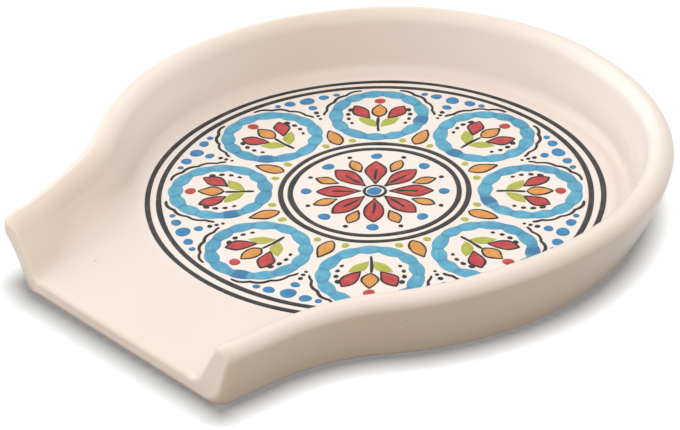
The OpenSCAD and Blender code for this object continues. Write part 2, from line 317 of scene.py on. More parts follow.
def hand_shaped(places):
    """Moves the true points by what hand work left: rim swells, a belly, and an uneven spout."""
    x, y, z = places.T
    turn = np.arctan2(y, x)
    swell_out, swell_up = np.zeros_like(x), np.zeros_like(x)
    for middle, spread, outward, upward in rim_swells:
        share = nearness(turned_away(np.degrees(turn), middle), 0, spread)
        swell_out += outward * share
        swell_up += upward * share
    swell_out += ripple_out * np.sin(ripples_out * turn + ripple_out_start)
    swell_up += ripple_up * np.sin(ripples_up * turn + ripple_up_start)
    lift = clipped((z - floor_thickness) / (bowl_height - floor_thickness))
    standing = clipped(z / floor_thickness) ** 2
    reach = np.maximum(np.hypot(x, y), 1.0)
    belly = belly_out * nearness(np.degrees(turn), belly_turn, belly_spread)
    belly *= np.sin(math.pi * clipped(z / bowl_height)) * (reach > rim_radius - belly_depth)
    out = lift * swell_out + belly
    moved = places.copy()
    moved[:, 0] += out * x / reach
    moved[:, 1] += out * y / reach
    moved[:, 2] += lift * swell_up + standing * floor_swell(x, y)
    splay = splay_out * nearness(y, splay_at, splay_spread) * clipped(2 * lift)
    moved[:, 0] -= splay * clipped((-x - splay_from) / splay_ramp)
    low = clipped(1 - z / spout_height)
    far_end = clipped((-y - tuck_at) / tuck_run) * clipped((-x - tuck_from) / tuck_ramp)
    moved[:, 0] += tuck_in * low**tuck_bend * np.sin(math.pi / 2 * far_end) ** 2
    slant = lip_skew * x + lip_back - lip_forward * low
    moved[:, 1] += slant * clipped((-y - lip_from) / lip_ramp)
    return moved


# Soft ridges that the shaping rib left low on the inner wall: the height of each one's crest, the
# turn where they crest, and the turn where they are plain to see
rib_crests = (8.2, 9.9, 11.6)
rib_crest_turn = 62
rib_mark_turn, rib_mark_spread = 50, 10
rib_mark_rise = 0.38
rib_mark_width = 0.75
rib_mark_bow = 0.015


def with_rib_marks(grid):
    """Raises the rib's ridges on the inner wall's part of the grid of wall points."""
    inner = grid[:, : rim_first + 1]
    x, y, z = np.moveaxis(inner, -1, 0)
    turn = np.degrees(np.arctan2(y, x))
    raised = np.zeros_like(z)
    for crest in rib_crests:
        ridge = crest - rib_mark_bow * (turn - rib_crest_turn) ** 2
        raised += nearness(z, ridge, rib_mark_width)
    raised *= nearness(turn, rib_mark_turn, rib_mark_spread)
    reach = np.hypot(x, y)
    inner[..., 0] -= rib_mark_rise * raised * x / reach
    inner[..., 1] -= rib_mark_rise * raised * y / reach
    return grid


class Shell:
    """Points and faces of the dish as they are put together, and the shares of glaze tone, painted
    shade and painted light at each point.
    """

    def __init__(self):
        self.places, self.faces = [], []
        self.glaze = {"thin": [], "pooled": [], "outside": [], "milky": []}

    def add(self, places, **glaze):
        """Adds points and gives their numbers."""
        first = len(self.places)
        self.places += [tuple(p) for p in places]
        for name, shares in self.glaze.items():
            shares += list(np.broadcast_to(glaze.get(name, 0.0), len(places)))
        return list(range(first, len(self.places)))

    def bridge(self, first, second):
        """Faces between two rows of points, one of which may be a single point."""
        count = max(len(first), len(second))
        first = first * count if len(first) == 1 else first
        second = second * count if len(second) == 1 else second
        for i in range(count - 1):
            corners = [first[i], first[i + 1], second[i + 1], second[i]]
            self.faces.append(list(dict.fromkeys(corners)))

    def across(self, left, right, steps):
        """The row of points from a point on the left side to its fellow on the right."""
        a, b = np.array(self.places[left]), np.array(self.places[right])
        points = [mixed(a, b, i / steps) for i in range(1, steps)]
        middle = self.add(points, outside=self.glaze["outside"][left])
        return [left] + middle + [right]


stations = rim_stations()
station_count = len(stations)
right_grid = np.array([section_points(s, 1) for s in stations])
left_grid = np.array([section_points(s, 0) for s in stations])[:0:-1] * [-1, 1, 1]
wall_grid = with_rib_marks(np.concatenate([left_grid, right_grid]))
middle_row = station_count - 1

# How the glaze and the painted shade and light lie from the floor over the rim to the base, point by
# point of a wall section: thinner glaze with a painted highlight over the rim, glaze pooled in the
# cove, painted shade up the inside and beyond the rim. The painted shade at the wall's foot ends that
# many coves up it, and the painted light is full from that share of the wall up.
foot_shade_end = 1.6
milky_from = 0.5
darkening_steps = 4
section_steps = np.arange(section_count)
over_rim = np.zeros(section_count)
over_rim[rim_first : rim_first + rim_steps + 1] = np.sin(np.linspace(0, math.pi, rim_steps + 1)) ** 2
in_cove = np.zeros(section_count)
in_cove[: cove_steps + 1] = np.sin(np.linspace(0, math.pi, cove_steps + 1)) / 2
up_inside = clipped(section_steps / cove_steps)
up_inside[rim_first + inner_rim_steps :] = 0.0
high_inside = up_inside * clipped((section_steps - cove_steps) / inner_steps / milky_from)
at_foot = clipped(foot_shade_end - section_steps / cove_steps)
past_rim = section_steps - rim_first - rim_steps
shade_beyond_rim = clipped((past_rim + darkening_steps) / darkening_steps)
end_distances = [s[2] for s in stations]
row_distances = end_distances[:0:-1] + end_distances

# Where painted light lightens the inner wall, where painted shade darkens it, and where painted shade
# lies at the wall's foot: turn, spread and share of each place
milky_places = [(60, 34, 1.0), (202, 22, 0.6)]
wall_shade_places = [(150, 26, 0.75), (-122, 15, 1.0), (14, 12, 0.5)]
foot_shade_places = [(45, 34, 0.7)]
wall_shade_least = 0.2
# The edge of the front face, lightened with painted light
front_light_reach, front_light_most = 1.0, 0.8


def glaze_share(turn, places):
    """How much a turn gets of the painted shade or light set at the places listed for it."""
    share = 0.0
    for middle, spread, amount in places:
        share += amount * nearness(turned_away(turn, middle), 0, spread)
    return share


shell = Shell()
rows = []
# Each row's shares: painted shade up the inner wall, at its foot, beyond the rim and over the lip's
# rounding, and painted light on the inner wall and at the front's edge.
for row, distance in zip(wall_grid, row_distances):
    lip_shade = math.sqrt(max(0.0, 1 - distance / lip_floor_reach))
    turn = math.degrees(math.atan2(row[rim_first][1], row[rim_first][0]))
    wall_shade = min(1.0, wall_shade_least + glaze_share(turn, wall_shade_places))
    pooled = np.maximum(in_cove, up_inside * wall_shade)
    pooled = np.maximum(pooled, at_foot * glaze_share(turn, foot_shade_places))
    front = front_light_most * max(0.0, 1 - distance / front_light_reach)
    outside = np.maximum(shade_beyond_rim, lip_shade) * (1 - front)
    milky = np.maximum(high_inside * glaze_share(turn, milky_places), front)
    rows.append(shell.add(row, thin=over_rim, pooled=pooled, outside=outside, milky=milky))
for before, after in zip(rows, rows[1:]):
    shell.bridge(after, before)

# The floor, out to the lip of the spout, in rows across the dish from the back to the front
floor_rows = [[rows[middle_row][0]]]
for i in range(1, station_count):
    floor_rows.append(shell.across(rows[middle_row - i][0], rows[middle_row + i][0], across_steps))
for back, front in zip(floor_rows, floor_rows[1:]):
    shell.bridge(front, back)

# The front of the spout: one face over both walls' ends and the edge of the floor
front_face = list(reversed(floor_rows[-1])) + rows[0][1:]
under_lip = shell.across(rows[0][-1], rows[-1][-1], across_steps)
front_face += under_lip[1:] + rows[-1][-2:0:-1]
shell.faces.append(front_face)

# The underside: the lip's lower edge, then the foot rim, and the shallow recess inside it
last_flank = station_count - 1 - end_steps
under_rows = [under_lip]
for i in range(station_count - 2, last_flank - 1, -1):
    left, right = rows[middle_row - i][-1], rows[middle_row + i][-1]
    under_rows.append(shell.across(left, right, across_steps))
for front, back in zip(under_rows, under_rows[1:]):
    shell.bridge(back, front)

front_base_y = spout_height * math.tan(math.radians(front_lean)) - spout_reach + base_round + foot_width


def foot_point(station):
    point, heading, _ = station
    inset = mixed(bowl_inset, spout_inset, spout_share(point)) + base_round + foot_width
    return point + inset * np.array([heading[1], -heading[0]])


def recess_outline():
    """The right half of the recess's edge, with the way into the recess at each point."""
    edge = []
    for station in stations[: last_flank + 1]:
        _, heading, _ = station
        edge.append((foot_point(station), np.array([heading[1], -heading[0]])))
    in_corner = [i for i, (p, _) in enumerate(edge) if p[1] <= front_base_y + foot_corner]
    before = edge[in_corner[0] - 1][0]
    centre = np.array([before[0] - foot_corner, front_base_y + foot_corner])
    for step, i in enumerate(in_corner):
        out = turned(-90 * step / (len(in_corner) - 1))
        edge[i] = (centre + foot_corner * out, -out)
    return edge


outline = recess_outline()
recess_rings = []
for k in range(recess_steps + 1):
    sink = math.radians(90 * k / recess_steps)
    into, up = recess_round * (1 - math.cos(sink)), foot_depth * math.sin(sink)
    right = [(*(p + into * n), up) for p, n in outline]
    left = [(-x, y, z) for x, y, z in right[:0:-1]]
    recess_rings.append(shell.add(left + right, outside=1.0))
rim_base = [rows[middle_row + i][-1] for i in range(-last_flank, last_flank + 1)]
for outer, inner in zip([rim_base] + recess_rings, recess_rings):
    shell.bridge(outer, inner)
front_rows = [under_rows[-1]]
front_rows += [shell.across(ring[0], ring[-1], across_steps) for ring in recess_rings]
for front, back in zip(front_rows, front_rows[1:]):
    shell.bridge(back, front)
inner_ring = recess_rings[-1]
roof_rows = [[inner_ring[last_flank]]]
for i in range(1, last_flank):
    left, right = inner_ring[last_flank - i], inner_ring[last_flank + i]
    roof_rows.append(shell.across(left, right, across_steps))
roof_rows.append(front_rows[-1])
for back, front in zip(roof_rows, roof_rows[1:]):
    shell.bridge(back, front)


def new_piece(name, places, faces, material, node):
    """A mesh, from places in millimetres, that rides on the part and stands for one of its nodes."""
    mesh = bpy.data.meshes.new(name)
    mesh.from_pydata([tuple(p) for p in np.asarray(places) * mm], [], faces)
    mesh.update()
    mesh.shade_smooth()
    mesh.materials.append(material)
    piece = bpy.data.objects.new(name, mesh)
    bpy.context.scene.collection.objects.link(piece)
    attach(piece, "root")
    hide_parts(node)
    return piece


def set_values(piece, name, values):
    """Keeps a value for each of the piece's points, for its material to read."""
    layer = piece.data.attributes.new(name, "FLOAT", "POINT")
    layer.data.foreach_set("value", np.asarray(values, np.float32))


def add_node(tree, kind, **settings):
    """A shader node whose settings are its own properties, or else its inputs by name."""
    node = tree.nodes.new("ShaderNode" + kind)
    for key, value in settings.items():
        if hasattr(node, key):
            setattr(node, key, value)
        else:
            node.inputs[key.replace("_", " ")].default_value = value
    return node


def joined(tree, source, target):
    tree.links.new(source, target)


def new_material(name):
    """A material with its principled shader and output, and nothing joined to the shader yet."""
    material = bpy.data.materials.new(name)
    material.use_nodes = True
    tree = material.node_tree
    tree.nodes.clear()
    shader = tree.nodes.new("ShaderNodeBsdfPrincipled")
    output = tree.nodes.new("ShaderNodeOutputMaterial")
    joined(tree, shader.outputs["BSDF"], output.inputs["Surface"])
    return material, tree, shader


def colour_socket(sockets, name):
    return [socket for socket in sockets if socket.name == name and socket.type == "RGBA"][0]


def shaded(tree, low, high, share):
    """A colour between two others by a share that changes over the surface."""
    mix = add_node(tree, "Mix", data_type="RGBA")
    for name, value in (("A", low), ("B", high)):
        socket = colour_socket(mix.inputs, name)
        if isinstance(value, bpy.types.NodeSocket):
            joined(tree, value, socket)
        else:
            socket.default_value = (*value, 1)
    joined(tree, share, mix.inputs["Factor"])
    return colour_socket(mix.outputs, "Result")


def ranged(tree, source, from_low, from_high, to_low=0.0, to_high=1.0):
    """A value moved from one range to another, and held at the new range's ends."""
    node = add_node(tree, "MapRange")
    for name, value in (
        ("From Min", from_low),
        ("From Max", from_high),
        ("To Min", to_low),
        ("To Max", to_high),
    ):
        node.inputs[name].default_value = value
    joined(tree, source, node.inputs["Value"])
    return node.outputs["Result"]


def reckoned(tree, operation, first, second):
    """A sum, product or the like of two values."""
    node = add_node(tree, "Math", operation=operation)
    for socket, value in zip(node.inputs, (first, second)):
        if isinstance(value, bpy.types.NodeSocket):
            joined(tree, value, socket)
        else:
            socket.default_value = value
    return node.outputs["Value"]


# The glaze's skin: how fine its drifts, clouds and orange peel are, and the part of each noise that
# counts. Specks stand in cells: how large one is, and which cells have one.
drift_scale, cloud_scale, peel_scale = 26.0, 85.0, 310.0
drift_range, cloud_range = (0.35, 0.65), (0.3, 0.7)
speck_edge = (0.012, 0.024)
specks_kept = (0.72, 0.76)
speck_spacing = 80.0
speck_core = 0.4


def fired_skin_group():
    """The skin of a fired glaze: drifts of tone, a soft orange-peel surface and a few specks."""
    group = bpy.data.node_groups.new("fired skin", "ShaderNodeTree")
    face = group.interface
    face.new_socket("Place", in_out="INPUT", socket_type="NodeSocketVector")
    face.new_socket("Speck Spacing", in_out="INPUT", socket_type="NodeSocketFloat")
    for name in ("Tone", "Peel", "Speck", "Cloud"):
        face.new_socket(name, in_out="OUTPUT", socket_type="NodeSocketFloat")
    start = group.nodes.new("NodeGroupInput")
    end = group.nodes.new("NodeGroupOutput")
    place = start.outputs["Place"]
    drift = add_node(group, "TexNoise", Scale=drift_scale, Detail=3.0, Roughness=0.55)
    cloud = add_node(group, "TexNoise", Scale=cloud_scale, Detail=4.0, Roughness=0.6)
    peel = add_node(group, "TexNoise", Scale=peel_scale, Detail=2.0, Roughness=0.5)
    for noise in (drift, cloud, peel):
        joined(group, place, noise.inputs["Vector"])
    joined(group, ranged(group, drift.outputs["Fac"], *drift_range), end.inputs["Tone"])
    joined(group, ranged(group, cloud.outputs["Fac"], *cloud_range), end.inputs["Cloud"])
    joined(group, peel.outputs["Fac"], end.inputs["Peel"])
    cells = add_node(group, "TexVoronoi")
    joined(group, place, cells.inputs["Vector"])
    joined(group, start.outputs["Speck Spacing"], cells.inputs["Scale"])
    size = ranged(group, cells.outputs["Distance"], *speck_edge, 1.0, 0.0)
    chosen = add_node(group, "SeparateColor")
    joined(group, cells.outputs["Color"], chosen.inputs["Color"])
    kept = ranged(group, chosen.outputs["Red"], *specks_kept)
    joined(group, reckoned(group, "MULTIPLY", size, kept), end.inputs["Speck"])
    return group


def named_value(tree, name):
    """The value that a piece keeps for its points under a name."""
    return add_node(tree, "Attribute", attribute_name=name).outputs["Fac"]


def spot_share(tree, place, middle, reach, strength):
    """A mask that marks a small round place on a piece."""
    away = add_node(tree, "VectorMath", operation="DISTANCE")
    away.inputs[1].default_value = [mm * part for part in middle]
    joined(tree, place, away.inputs[0])
    core, edge = speck_core * reach * mm, reach * mm
    return ranged(tree, away.outputs["Value"], core, edge, strength, 0.0)


def finished(tree, shader, coat, coat_roughness, relief, strength, depth):
    """Gives a material its clear top layer and its fine relief."""
    shader.inputs["Coat Weight"].default_value = coat
    shader.inputs["Coat Roughness"].default_value = coat_roughness
    bump = add_node(tree, "Bump", Strength=strength, Distance=depth)
    joined(tree, relief, bump.inputs["Height"])
    joined(tree, bump.outputs["Normal"], shader.inputs["Normal"])


def group_node(tree, group):
    node = tree.nodes.new("ShaderNodeGroup")
    node.node_tree = group
    return node


fired_skin = fired_skin_group()
ivory = (0.835, 0.742, 0.695)
ivory_warm = (0.825, 0.725, 0.66)
ground_white = (0.885, 0.81, 0.765)
ground_reach = 64.6
ground_fade = 3.0
# The next four tones: over the rims, thinner glaze with a painted highlight; outside, painted shade on
# the outer walls and the lip's rounding; in the coves and up the inner walls, pooled glaze and painted
# shade; and painted light on the inner walls and the front edge.
ivory_thin_highlight = (0.86, 0.76, 0.69)
ivory_outside_shade = (0.78, 0.665, 0.56)
ivory_pooled = (0.76, 0.655, 0.575)
ivory_milky = (0.95, 0.865, 0.81)
speck_brown = (0.22, 0.15, 0.10)
# The two specks that show on the spout's floor: place, reach and strength
floor_specks = [((-40.1, -57.0), 0.42, 0.9), ((-27.2, -71.8), 0.36, 0.6)]
bare_clay = (0.62, 0.47, 0.34)
bare_clay_dark = (0.50, 0.36, 0.25)
bare_height = 0.35
bare_dullness = 0.45
grain_scale = 1400.0
thin_highlight_most = 0.8
glaze_roughness = (0.30, 0.38)
glaze_coat, glaze_coat_roughness = 0.25, 0.12
peel_strength, peel_depth = 0.35, 0.06


def primed_share(tree, place, height):
    """The white ground under the rosette: a round on the floor that fades at its edge."""
    from_rosette = add_node(tree, "VectorMath", operation="DISTANCE")
    from_rosette.inputs[1].default_value = (0, rosette_y * mm, floor_thickness * mm)
    joined(tree, place, from_rosette.inputs[0])
    near, far = (ground_reach - ground_fade) * mm, (ground_reach + ground_fade) * mm
    inside = ranged(tree, from_rosette.outputs["Value"], near, far, 1.0, 0.0)
    upper = ranged(tree, height, foot_depth * mm, floor_thickness * mm)
    return reckoned(tree, "MULTIPLY", inside, upper)


def ivory_glaze():
    """Ivory glaze, thinner over the rims and pooled in the coves, with painted highlights, shade and
    light, over a bare wiped foot.
    """
    material, tree, shader = new_material("ivory glaze")
    place = add_node(tree, "TexCoord").outputs["Object"]
    height = add_node(tree, "SeparateXYZ")
    joined(tree, place, height.inputs["Vector"])
    height = height.outputs["Z"]
    skin = group_node(tree, fired_skin)
    skin.inputs["Speck Spacing"].default_value = speck_spacing
    joined(tree, place, skin.inputs["Place"])
    tone = shaded(tree, ivory, ivory_warm, skin.outputs["Tone"])
    # Over the rims, thinner glaze with a painted highlight; then pooled glaze and painted shade,
    # painted light, and painted shade outside and on the lip.
    thin = reckoned(tree, "MULTIPLY", named_value(tree, "thin"), thin_highlight_most)
    tone = shaded(tree, tone, ivory_thin_highlight, thin)
    tone = shaded(tree, tone, ivory_pooled, named_value(tree, "pooled"))
    tone = shaded(tree, tone, ivory_milky, named_value(tree, "milky"))
    tone = shaded(tree, tone, ivory_outside_shade, named_value(tree, "outside"))
    tone = shaded(tree, tone, ground_white, primed_share(tree, place, height))
    tone = shaded(tree, tone, speck_brown, skin.outputs["Speck"])
    for middle, reach, strength in floor_specks:
        speck = spot_share(tree, place, (*middle, floor_thickness), reach, strength)
        tone = shaded(tree, tone, speck_brown, speck)
    ragged = reckoned(tree, "MULTIPLY", skin.outputs["Cloud"], bare_height * mm)
    level = reckoned(tree, "ADD", height, ragged)
    bare = ranged(tree, level, bare_height * mm, 2 * bare_height * mm, 1.0, 0.0)
    grain = add_node(tree, "TexNoise", Scale=grain_scale, Detail=3.0)
    joined(tree, place, grain.inputs["Vector"])
    clay = shaded(tree, bare_clay, bare_clay_dark, grain.outputs["Fac"])
    joined(tree, shaded(tree, tone, clay, bare), shader.inputs["Base Color"])
    roughness = ranged(tree, skin.outputs["Cloud"], 0.0, 1.0, *glaze_roughness)
    dull = reckoned(tree, "MULTIPLY", bare, bare_dullness)
    joined(tree, reckoned(tree, "ADD", roughness, dull), shader.inputs["Roughness"])
    rough = reckoned(tree, "MULTIPLY", grain.outputs["Fac"], bare)
    relief = reckoned(tree, "ADD", skin.outputs["Peel"], rough)
    finished(tree, shader, glaze_coat, glaze_coat_roughness, relief, peel_strength, peel_depth * mm)
    return material


dish_places = hand_shaped(np.array(shell.places)) + np.array([0, well_y, 0])
dish = new_piece("glazed_dish", dish_places, shell.faces, ivory_glaze(), "dish")
lip_edges = {frozenset(pair) for pair in zip(front_face, front_face[1:] + front_face[:1])}
for edge in dish.data.edges:
    edge.use_edge_sharp = frozenset(edge.vertices) in lip_edges
for name, shares in shell.glaze.items():
    set_values(dish, name, shares)


# Border lines: two pairs of grey-black bands turned on the wheel with a loaded brush, one pair
# under the wall and one round the medallion. Each is a thin fired film with a join where the
# brush was lifted, and it lies on every swell of the floor.
hand = random.Random(20)
border_width = 1.6
border_gap = 3.3
medallion_gap = 2.9
roundel_gap = 1.2
roundel_spacing = 3.3
roundel_count = 8
border_radius = (border_high.x - border_low.x) / 2 / mm - border_width / 2
field_out = border_radius - border_gap - border_width / 2
roundel_chord = math.sin(math.pi / roundel_count)
roundel_at = (field_out - roundel_gap + roundel_spacing / 2) / (1 + roundel_chord)
roundel_radius = roundel_at * roundel_chord - roundel_spacing / 2
field_in = roundel_at - roundel_radius - roundel_gap
medallion_radius = field_in - border_width / 2
film_sink = 0.04
colour_thickness = 0.09
black_thickness = 0.15
across_shares = np.array([0, 0.06, 0.18, 0.34, 0.5, 0.66, 0.82, 0.94, 1])
dab_shares = np.array([0.35, 0.65, 0.86, 0.96, 1])
dab_points = 22
dab_oval, dab_three_sided = 0.05, 0.03
# How far along the streaks of the brush a stroke may begin, and the wobble of the hand
streaks_long = 400
wobble_waves, wobble_fall = (2, 5, 9), 0.3
# A band of the border: how far it strays, how its width varies, and the join that closes it
ring_points, ring_stray = 360, 0.16
ring_unevenness, ring_waves = 0.12, (3, 7, 16, 31)
join_spread, join_swell = 0.03, 0.14


def any_start():
    """Where in its wave a wobble begins, left to chance."""
    return hand.uniform(0, 6)


def full_turn(count):
    """Angles spaced evenly round a full turn."""
    return np.linspace(0, 2 * math.pi, count, endpoint=False)


def round_points(angles):
    return np.stack([np.cos(angles), np.sin(angles)], 1)


def spun(shape, angle):
    """A flat shape turned round its origin."""
    cos, sin = math.cos(angle), math.sin(angle)
    return np.asarray(shape, float) @ np.array([[cos, sin], [-sin, cos]])


def film_rise(edge):
    """The film's height as a share, from its middle (0) to its rounded edge (1)."""
    return np.sqrt(np.clip(1 - edge**6, 0, 1))


class Film:
    """The strokes of one colour. Each is a closed thin body that lies on the floor."""

    def __init__(self, thickness):
        self.thickness = thickness
        self.places, self.faces, self.brush, self.edge, self.load = [], [], [], [], []

    def put(self, flat, edge, along, across, load):
        """Adds points of a stroke and gives their numbers."""
        first = len(self.edge)
        x, y = flat[:, 0], flat[:, 1] + rosette_y
        rise = film_rise(edge) * self.thickness - film_sink * (edge >= 1)
        z = floor_thickness + floor_swell(x, y - well_y) + rise
        self.places += list(np.stack([x, y, z], 1))
        self.brush += list(np.stack([along, across], 1))
        self.edge += list(edge)
        self.load += list(load)
        return list(range(first, first + len(flat)))

    def band(self, left, right, closed=False, load=0.0):
        """A stroke between its left and right edges, or a ring where it is closed."""
        start = hand.uniform(0, streaks_long)
        middle = (left + right) / 2
        steps = np.linalg.norm(np.diff(middle, axis=0), axis=1)
        along = start + np.concatenate([[0], np.cumsum(steps)])
        loads = np.broadcast_to(load, len(left))
        lines = []
        for i in range(len(left)):
            row = left[i] + across_shares[:, None] * (right[i] - left[i])
            width = np.linalg.norm(right[i] - left[i])
            across = start + (across_shares - 0.5) * width
            edge = np.abs(2 * across_shares - 1)
            same = np.full(len(row), along[i])
            lines.append(self.put(row, edge, same, across, np.full(len(row), loads[i])))
        for a, b in zip(lines, lines[1:] + lines[:1] if closed else lines[1:]):
            for k in range(len(a) - 1):
                self.faces.append([a[k], a[k + 1], b[k + 1], b[k]])
            self.faces.append([a[-1], a[0], b[0], b[-1]])
        if not closed:
            self.faces.append(lines[0][::-1])
            self.faces.append(lines[-1])

    def dab(self, centre, radius, stretch=1.0, turn=0.0):
        """One press of the brush's tip: a round spot with an outline that is never quite true."""
        turns = full_turn(dab_points)
        wobble = 1 + dab_oval * np.cos(2 * turns + any_start())
        wobble += dab_three_sided * np.cos(3 * turns + any_start())
        out = spun(radius * wobble[:, None] * round_points(turns) * [stretch, 1], turn)
        start = hand.uniform(0, streaks_long)
        centre = np.asarray(centre, float)
        middle = self.put(centre[None], np.zeros(1), [start], [start], [0.0])[0]
        rings = []
        for share in dab_shares:
            along, across = (start + share * out).T
            edge = np.full(dab_points, share)
            rings.append(self.put(centre + share * out, edge, along, across, np.zeros(dab_points)))
        for k in range(dab_points):
            j = (k + 1) % dab_points
            self.faces.append([middle, rings[0][k], rings[0][j]])
            for inner, outer in zip(rings, rings[1:]):
                self.faces.append([inner[k], outer[k], outer[j], inner[j]])
        self.faces.append(rings[-1][::-1])

    def piece(self, name, material, node, slot):
        """The film's strokes as one piece, with its streaks mapped along each stroke."""
        laid = new_piece(name, self.places, self.faces, material, node)
        set_values(laid, "edge", self.edge)
        set_values(laid, "load", self.load)
        brush = laid.data.uv_layers.new(name="brush")
        corners = np.empty(len(laid.data.loops), int)
        laid.data.loops.foreach_get("vertex_index", corners)
        brush.data.foreach_set("uv", np.array(self.brush, np.float32)[corners].ravel())
        return laid


def wander(count, size, waves=wobble_waves):
    """A slow wobble of the hand round a closed line, as one value for each of its points."""
    swings = [np.sin(w * full_turn(count) + any_start()) / (1 + wobble_fall * w) for w in waves]
    return size * np.sum(swings, axis=0)


def wheel_ring(film, radius, width):
    """A band turned on the wheel, from a first touch round to the overlap that closes it."""
    out = round_points(full_turn(ring_points) + any_start())
    middle = radius + wander(ring_points, ring_stray)
    half = width / 2 * (1 + wander(ring_points, ring_unevenness, ring_waves))
    swell = nearness(np.linspace(-1, 1, ring_points), 0, join_spread)
    half = half * (1 + join_swell * swell)
    film.band(out * (middle - half)[:, None], out * (middle + half)[:, None], True, swell)


# A brushed colour: how its streaks run along and across the stroke, how broad its lighter drifts
# are, and where along those and towards the edge it thins and gathers
streak_stretch = (0.22, 1.3, 1.0)
brush_drift_scale = 0.33
thin_range = (0.92, 1.3)
gathered_range = (0.78, 0.97)
streak_range = (0.3, 0.7)
enamel_roughness = (0.24, 0.36)
enamel_shine = 0.28
enamel_coat, enamel_coat_roughness = 0.1, 0.1
streak_strength, streak_depth = 0.25, 0.04


def brushed_group():
    """A brushed colour: streaks along the stroke, a denser line at its edge, and lighter drifts."""
    group = bpy.data.node_groups.new("brushed colour", "ShaderNodeTree")
    face = group.interface
    face.new_socket("Brush", in_out="INPUT", socket_type="NodeSocketVector")
    face.new_socket("Edge", in_out="INPUT", socket_type="NodeSocketFloat")
    for name in ("Thin", "Dense", "Relief"):
        face.new_socket(name, in_out="OUTPUT", socket_type="NodeSocketFloat")
    start = group.nodes.new("NodeGroupInput")
    end = group.nodes.new("NodeGroupOutput")
    stretch = add_node(group, "VectorMath", operation="MULTIPLY")
    stretch.inputs[1].default_value = streak_stretch
    joined(group, start.outputs["Brush"], stretch.inputs[0])
    streak = add_node(group, "TexNoise", Scale=1.0, Detail=3.0, Roughness=0.6)
    joined(group, stretch.outputs["Vector"], streak.inputs["Vector"])
    drift = add_node(group, "TexNoise", Scale=brush_drift_scale, Detail=1.0)
    joined(group, start.outputs["Brush"], drift.inputs["Vector"])
    both = reckoned(group, "ADD", streak.outputs["Fac"], drift.outputs["Fac"])
    joined(group, ranged(group, both, *thin_range), end.inputs["Thin"])
    joined(group, ranged(group, start.outputs["Edge"], *gathered_range), end.inputs["Dense"])
    joined(group, streak.outputs["Fac"], end.inputs["Relief"])
    return group


brushed = brushed_group()


def enamel(name, tone, thin_tone, dense_tone, edge_share=0.35, thin_share=0.6):
    """A glossy brushed enamel in three tones: as laid, where it is thin, and where it gathers."""
    material, tree, shader = new_material(name)
    film = group_node(tree, brushed)
    way = add_node(tree, "UVMap", uv_map="brush")
    joined(tree, way.outputs["UV"], film.inputs["Brush"])
    joined(tree, named_value(tree, "edge"), film.inputs["Edge"])
    thin = reckoned(tree, "MULTIPLY", film.outputs["Thin"], thin_share)
    colour = shaded(tree, tone, thin_tone, thin)
    gathered = reckoned(tree, "MULTIPLY", film.outputs["Dense"], edge_share)
    gathered = reckoned(tree, "MAXIMUM", gathered, named_value(tree, "load"))
    colour = shaded(tree, colour, dense_tone, gathered)
    joined(tree, colour, shader.inputs["Base Color"])
    relief = film.outputs["Relief"]
    roughness = ranged(tree, relief, *streak_range, *enamel_roughness)
    joined(tree, roughness, shader.inputs["Roughness"])
    shader.inputs["Specular IOR Level"].default_value = enamel_shine
    coat = (enamel_coat, enamel_coat_roughness)
    finished(tree, shader, *coat, relief, streak_strength, streak_depth * mm)
    return material


border_grey = (0.0136, 0.0146, 0.0163)
border_thin = (0.0638, 0.0645, 0.0619)
border_dense = (0.005, 0.005, 0.006)
rings = Film(black_thickness)
for radius in (
    border_radius,
    border_radius - border_gap,
    medallion_radius,
    medallion_radius - medallion_gap,
):
    wheel_ring(rings, radius, border_width)
border_enamel = enamel("border enamel", border_grey, border_thin, border_dense, edge_share=0.5)
rings.piece("border_lines", border_enamel, "ring_lines", "black_border_enamel")


# Turquoise roundels: eight wreaths in a ring round the medallion, each of short touching dabs of
# a broad brush, so that both edges are scalloped and the colour doubles where dabs overlap.
turquoise_width = 4.0
white_radius = roundel_radius - turquoise_width
first_turn = -90.0
gap_turn = first_turn + 180 / roundel_count
scallops = 13
wreath_points = 208
scallop_in, scallop_out, scallop_rest = 0.9, 0.5, 0.55
scallop_stray = 0.12
wreath_stray = 0.15
# Where the colour lies thick, as loads of it: at each overlap of two dabs, where the brush was
# full, and where the last dab closes the wreath
overlap_load, overlap_reach = 0.42, 0.10
full_load, full_size, full_waves = 0.3, 0.7, (1, 2, 4)
close_load, close_reach, close_fade = 0.85, 0.06, 0.015
hand_tilt = 1.5


def placed(shape, turn, out, tilt=0.0):
    """A shape drawn along +X, set on the rosette at a turn and a distance from its middle."""
    shape = spun(shape, math.radians(tilt)) + np.array([out, 0.0])
    return spun(shape, math.radians(turn))


def copies(turn):
    """The turns of the eight like motifs, each with the small lean that a hand gives it."""
    turns = [turn + i * 360 / roundel_count for i in range(roundel_count)]
    return [(turn, hand.uniform(-hand_tilt, hand_tilt)) for turn in turns]


def wreath(film, turn, tilt):
    """A ring of touching dabs, which bulges with each dab and is pinched between two."""
    out = round_points(full_turn(wreath_points) + any_start())
    steps = np.linspace(0, scallops, wreath_points, endpoint=False)
    steps = (steps + wander(wreath_points, scallop_stray)) % 1
    pinch = 1 - np.abs(np.sin(math.pi * steps))
    lift = wander(wreath_points, wreath_stray)
    inner = white_radius - scallop_rest + scallop_in * pinch + lift
    outer = roundel_radius - scallop_out * pinch + lift / 2
    load = overlap_load * nearness(np.minimum(steps, 1 - steps), 0, overlap_reach)
    load = load + full_load * clipped(wander(wreath_points, full_size, full_waves))
    close = np.abs(np.linspace(-1, 1, wreath_points))
    load = np.maximum(load, close_load * clipped((close_reach - close) / close_fade))
    left = placed(out * inner[:, None], turn, roundel_at, tilt)
    right = placed(out * outer[:, None], turn, roundel_at, tilt)
    film.band(left, right, True, load)


